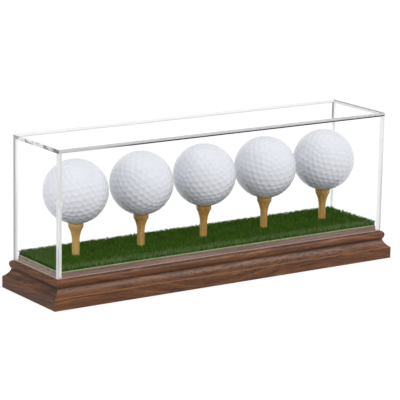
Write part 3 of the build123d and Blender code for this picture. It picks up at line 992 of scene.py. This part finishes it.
# Painted shade on the cut edges: the left ends turn grey, more so towards the rear on the walls, and in patches on the
# top sheet's left end.
at_left = ease_between(edge_tree, edge_parts.outputs["X"], cover_low[0] + 0.3 * mm, cover_low[0] + 0.6 * mm, 1.0, 0.0)
at_rear = ease_between(edge_tree, edge_parts.outputs["Y"], cover_low[1], -cover_low[1])
at_top = ease_between(edge_tree, edge_parts.outputs["Z"], ceiling_z - 0.1 * mm, ceiling_z)
painted_patch_noise = stretched_noise(edge_tree, edge_place, (100, 100, 260), detail=2.0, roughness=0.6)
patch = ease_between(edge_tree, painted_patch_noise, 0.47, 0.56)
left_painted_shade = add_node(edge_tree, "Mix", {0: at_top, 2: at_rear, 3: patch}, data_type="FLOAT").outputs[0]
edge_painted_shade = arithmetic(edge_tree, "MULTIPLY", at_left, left_painted_shade)
edge_colour = mix_colours(edge_tree, edge_painted_shade, paint(250, 251, 251), paint(158, 159, 160))
# Painted shade: a dark line along the foot of the top sheet's front edge, fading in from the left corner.
at_front = ease_between(edge_tree, edge_parts.outputs["Y"], cover_low[1] + 0.3 * mm, cover_low[1] + 0.6 * mm, 1.0, 0.0)
at_joint = ease_between(edge_tree, edge_parts.outputs["Z"], ceiling_z + 0.7 * mm, ceiling_z + 0.9 * mm, 1.0, 0.0)
past_corner = ease_between(edge_tree, edge_parts.outputs["X"], cover_low[0] + 20 * mm, cover_low[0] + 60 * mm)
joint_painted_shade = arithmetic(edge_tree, "MULTIPLY", arithmetic(edge_tree, "MULTIPLY", at_front, at_joint), past_corner)
joint_painted_shade = arithmetic(edge_tree, "MULTIPLY", joint_painted_shade, at_top)
edge_colour = mix_colours(edge_tree, joint_painted_shade, edge_colour, paint(24, 24, 23))
# Painted shade: the top sheet's right end is darkened to a grey line.
at_right = ease_between(edge_tree, edge_parts.outputs["X"], cover_high[0] - 0.6 * mm, cover_high[0] - 0.3 * mm, 0.0, 0.8)
right_painted_shade = arithmetic(edge_tree, "MULTIPLY", at_right, at_top)
edge_colour = mix_colours(edge_tree, right_painted_shade, edge_colour, paint(105, 105, 104))
edge_tree.links.new(edge_colour, edge_shader.inputs["Base Color"])
let_light_through(edge_tree, edge_shader)

# %% [markdown]
# The walls' feet are sawn and not polished, so they are matt, and their light line is seen through the clear faces
# just above the base. Their light brown is a painted reflection of the walnut they stand on.

# %% Sawn feet
sawn_foot, foot_tree, foot_shader = new_material("acrylic_foot", roughness=0.55)
foot_place = add_node(foot_tree, "TexCoord").outputs["Object"]
foot_saw = stretched_noise(foot_tree, foot_place, (300, 300, 300), detail=3.0)
# The feet's light brown is a painted reflection of the walnut under them.
foot_tree.links.new(mix_colours(foot_tree, foot_saw, paint(170, 142, 128), paint(204, 180, 168)), foot_shader.inputs["Base Color"])
let_light_through(foot_tree, foot_shader)
print("feet's finish:", sawn_foot.name)

# %% [markdown]
# The six faces of a box come from its two corners. The two widest take the polished finish and the
# four narrow ones the satin one.

# %% Five sheets
cement = 0.04 * mm
edge_bevel = 0.2 * mm
box_faces = np.array([[0, 1, 3, 2], [4, 6, 7, 5], [0, 4, 5, 1], [2, 3, 7, 6], [0, 2, 6, 4], [1, 5, 7, 3]])
box_face_axis = np.array([0, 0, 1, 1, 2, 2])
box_foot = 4


def make_sheet(name, node, thin_axis, trim_low, trim_high):
    """Corner number b has the high value on X, Y or Z where bit 4, 2 or 1 of b is set."""
    low, high = (np.array(corner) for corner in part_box(node))
    low, high = low + trim_low, high - trim_high
    number = np.arange(8)
    is_high = np.stack([number & 4, number & 2, number & 1], axis=-1) > 0
    sheet = new_piece(name, np.where(is_high, high, low), box_faces)
    sheet.data.shade_flat()
    sheet.data.materials.append(clear_face)
    sheet.data.materials.append(cut_edge)
    sheet.data.materials.append(sawn_foot)
    finish_number = (box_face_axis != thin_axis).astype(np.int32)
    if thin_axis != 2:
        finish_number[box_foot] = 2
    sheet.data.polygons.foreach_set("material_index", finish_number)
    bevel = sheet.modifiers.new("eased edges", "BEVEL")
    bevel.width = edge_bevel
    bevel.segments = 2
    put_in_place(sheet, "cover", [node])


no_trim = np.zeros(3)
under_top = np.array([0, 0, cement])
off_base = np.array([0, 0, cement])
between_walls = np.array([0, cement, 0])
make_sheet("top_sheet", "cover_top", 2, no_trim, no_trim)
make_sheet("front_sheet", "cover_front", 1, off_base, under_top)
make_sheet("rear_sheet", "cover_rear", 1, off_base, under_top)
make_sheet("left_sheet", "cover_left", 0, between_walls + off_base, between_walls + under_top)
make_sheet("right_sheet", "cover_right", 0, between_walls + off_base, between_walls + under_top)

# %% [markdown]
# Solvent cement creeps into the inner corners and sets there as a thin fillet. Its colour holds painted shade: a dark
# line under the front edge of the top, fading in from the left, and a strip a little way down the far right corner,
# dark at the top and fading out. Along the rear and the two ends, and in the near left corner, it takes only a trace
# of painted shade and is hardly seen. Each fillet keeps its painted shade as an attribute.

# %% Cement fillets
cement_fillet, cement_tree, cement_shader = new_material("cement_fillet", roughness=0.3)
cement_painted_shade = add_node(cement_tree, "Attribute", attribute_name="shade").outputs["Fac"]
cement_place = add_node(cement_tree, "TexCoord").outputs["Object"]
cement_cloud = stretched_noise(cement_tree, cement_place, (120, 120, 120), detail=3.0)
cement_painted_shade_colour = mix_colours(cement_tree, cement_cloud, paint(40, 40, 39), paint(80, 79, 77))
cement_colour = mix_colours(cement_tree, cement_painted_shade, paint(244, 245, 245), cement_painted_shade_colour)
cement_tree.links.new(cement_colour, cement_shader.inputs["Base Color"])
let_light_through(cement_tree, cement_shader)

sheet_thickness = cover_high[2] - ceiling_z
inner_x, inner_y = cover_high[0] - sheet_thickness, cover_high[1] - sheet_thickness
fillet_reach = 0.7 * mm  # along the top sheet, or along both walls in an upright corner
fillet_drop = 0.5 * mm  # down a wall


def make_cement_fillet(name, start, end, first_leg, second_leg, shade, node):
    """A prism from start to end. Its section has a corner, where two sheets meet, two legs
    along them, and a hollow third side: a quarter of an ellipse about the legs' far corner."""
    start, end, first_leg, second_leg = (np.array(v, float) for v in (start, end, first_leg, second_leg))
    quarter = np.linspace(0, math.pi / 2, 6)[:, None]
    hollow_side = first_leg * (1 - np.sin(quarter)) + second_leg * (1 - np.cos(quarter))
    outline = np.concatenate([[np.zeros(3)], hollow_side])
    share = np.linspace(0, 1, len(shade))[:, None, None]
    points = start + share * (end - start) + outline[None]
    faces = grid_faces(len(shade), len(outline), close_columns=True)
    start_cap = np.arange(len(outline))[None, ::-1]
    end_cap = np.arange(len(outline))[None, :] + (len(shade) - 1) * len(outline)
    if np.dot(np.cross(first_leg, second_leg), end - start) < 0:
        faces, start_cap, end_cap = faces[:, ::-1], start_cap[:, ::-1], end_cap[:, ::-1]
    fillet = new_piece(name, points.reshape(-1, 3), faces, start_cap, end_cap)
    fillet.data.set_sharp_from_angle(angle=sharp_angle)
    fillet.data.materials.append(cement_fillet)
    keep_with_points(fillet, "shade", np.repeat(shade, len(outline)))
    put_in_place(fillet, "cover", [node])


down = (0, 0, -fillet_drop)
fades_in = np.clip(np.linspace(-0.2, 6, 24), 0, 1)
painted_shade_down_corner = np.clip(np.linspace(4, -0.5, 12), 0, 1)
top_z = ceiling_z - cement
make_cement_fillet("cement_front", (-inner_x, -inner_y, top_z), (inner_x, -inner_y, top_z),
                   (0, fillet_reach, 0), down, fades_in, "cover_front")
make_cement_fillet("cement_rear", (-inner_x, inner_y, top_z), (inner_x, inner_y, top_z),
                   (0, -fillet_reach, 0), down, np.full(2, 0.10), "cover_rear")
make_cement_fillet("cement_left", (-inner_x, -inner_y, top_z), (-inner_x, inner_y, top_z),
                   (fillet_reach, 0, 0), down, np.full(2, 0.12), "cover_left")
make_cement_fillet("cement_right", (inner_x, -inner_y, top_z), (inner_x, inner_y, top_z),
                   (-fillet_reach, 0, 0), down, np.full(2, 0.05), "cover_right")
# A strip of painted shade down the top of the far right corner: dark at the top, fading out 15 mm down.
make_cement_fillet("corner_fillet_painted_shade", (inner_x, inner_y, top_z), (inner_x, inner_y, top_z - 15 * mm),
                   (-0.9 * mm, 0, 0), (0, -0.7 * mm, 0), painted_shade_down_corner, "cover_rear")
foot_z = cover_low[2] + cement
make_cement_fillet("cement_corner", (-inner_x, -inner_y, foot_z), (-inner_x, -inner_y, top_z),
                   (1.5 * mm, 0, 0), (0, fillet_reach, 0), np.full(2, 0.02), "cover_front")

# %% [markdown]
# ## Floor, light and camera
# The case stands on a white floor in a white room. The camera, mirrors and glass see plain white,
# and the floor keeps a soft shadow. What falls on the object itself comes from an even, dimmer sky
# and two large lamps, so that a colour shows about as it is written.

# %% Room and floor
sky_strength = 0.62


def sees_white(tree):
    """1 for rays from the camera, off a mirror or through glass, and 0 for the others."""
    path = add_node(tree, "LightPath")
    seen = arithmetic(tree, "MAXIMUM", path.outputs["Is Camera Ray"], path.outputs["Is Glossy Ray"])
    return arithmetic(tree, "MAXIMUM", seen, path.outputs["Is Transmission Ray"])


world = bpy.data.worlds.new("white_room")
world.use_nodes = True
bpy.context.scene.world = world
sky = world.node_tree
sky.nodes.clear()
dim = add_node(sky, "Background", {"Color": (1, 1, 1, 1), "Strength": sky_strength})
white = add_node(sky, "Background", {"Color": (1, 1, 1, 1), "Strength": 1.0})
sky_mix = add_node(sky, "MixShader", {0: sees_white(sky), 1: dim.outputs[0], 2: white.outputs[0]})
sky_output = add_node(sky, "OutputWorld", {"Surface": sky_mix.outputs[0]})

floor_half = 4.0
floor_corners = np.array([(-1, -1, 0), (1, -1, 0), (1, 1, 0), (-1, 1, 0)]) * floor_half
floor = new_piece("floor", floor_corners, np.array([[0, 1, 2, 3]]))
floor_material = bpy.data.materials.new("white_floor")
floor_material.use_nodes = True
floor_tree = floor_material.node_tree
floor_tree.nodes.clear()
matt = add_node(floor_tree, "BsdfDiffuse", {"Color": (0.15, 0.15, 0.15, 1)})
faint = add_node(floor_tree, "BsdfDiffuse", {"Color": (0.15, 0.15, 0.15, 1)})
glow = add_node(floor_tree, "Emission", {"Color": (1, 1, 1, 1), "Strength": 0.93})
shadowed_white = add_node(floor_tree, "AddShader", {0: faint.outputs[0], 1: glow.outputs[0]})
floor_mix = add_node(
    floor_tree, "MixShader", {0: sees_white(floor_tree), 1: matt.outputs[0], 2: shadowed_white.outputs[0]}
)
add_node(floor_tree, "OutputMaterial", {"Surface": floor_mix.outputs[0]})
floor.data.materials.append(floor_material)
print("sky strength", sky_strength, "floor half width", floor_half, "m")

# %% [markdown]
# The main lamp stands high to the right of the front, and a weaker one to the left. Both are large
# and near for their size, so shadows are soft. A lamp looks along its own -Z, so it is turned to
# face the middle of the case.


# %% Lamps
def look_at_matrix(place, target):
    """A frame at place whose -Z runs to target."""
    back = (place - target) / np.linalg.norm(place - target)
    right = np.cross((0, 0, 1), back)
    right /= np.linalg.norm(right)
    turned = np.eye(4)
    turned[:3, :3] = np.column_stack([right, np.cross(back, right), back])
    turned[:3, 3] = place
    return Matrix(turned.tolist())


def add_lamp(name, place, size, power, shines):
    """A square area lamp that only lights: the camera and glass don't see it. One that shines
    also shows in gloss."""
    data = bpy.data.lights.new(name, "AREA")
    data.size = size
    data.energy = power
    lamp = bpy.data.objects.new(name, data)
    bpy.context.scene.collection.objects.link(lamp)
    lamp.matrix_world = look_at_matrix(np.array(place), np.array([0, 0, 0.05]))
    lamp.visible_camera = False
    lamp.visible_transmission = False
    lamp.visible_glossy = shines
    print(name, power, "W at", place)


add_lamp("front_lamp", (-0.35, -1.50, 0.14), 0.8, 10.0, shines=False)
add_lamp("side_lamp", (0.95, -1.20, 1.05), 0.6, 7.0, shines=True)
add_lamp("left_lamp", (-1.50, 0.25, 0.25), 0.6, 7.0, shines=True)

# %% [markdown]
# The camera was placed by fitting the corners of the base and the cover, and the outlines of the
# balls, to the photograph. It stands to the front left, a little above the case, far away with a
# long lens, which is why the long edges hardly converge.

# %% Camera
azimuth = math.radians(-34.247)
elevation = math.radians(13.055)
roll = math.radians(1.052)
distance = 1.4740
aim = np.array([-1.784, 1.285, 51.716]) * mm
focal_pixels = 2182.44
image_pixels = 400
sensor_width = 36.0

back = np.array([
    math.sin(azimuth) * math.cos(elevation),
    -math.cos(azimuth) * math.cos(elevation),
    math.sin(elevation),
])
level_right = np.array([math.cos(azimuth), math.sin(azimuth), 0])
level_up = np.cross(back, level_right)
right = level_right * math.cos(roll) + level_up * math.sin(roll)
up = -level_right * math.sin(roll) + level_up * math.cos(roll)
stand = np.eye(4)
stand[:3, :3] = np.column_stack([right, up, back])
stand[:3, 3] = aim + back * distance

camera_data = bpy.data.cameras.new("camera")
camera_data.sensor_width = sensor_width
camera_data.lens = focal_pixels / image_pixels * sensor_width
camera_data.shift_x = -0.0012
camera_data.shift_y = -0.00195
camera_data.dof.use_dof = False
camera = bpy.data.objects.new("camera", camera_data)
bpy.context.scene.collection.objects.link(camera)
camera.matrix_world = Matrix(stand.tolist())
bpy.context.scene.camera = camera
bpy.context.scene.view_settings.view_transform = "Standard"
print("camera at", (stand[:3, 3]).round(3).tolist(), "lens", round(camera_data.lens, 1), "mm")
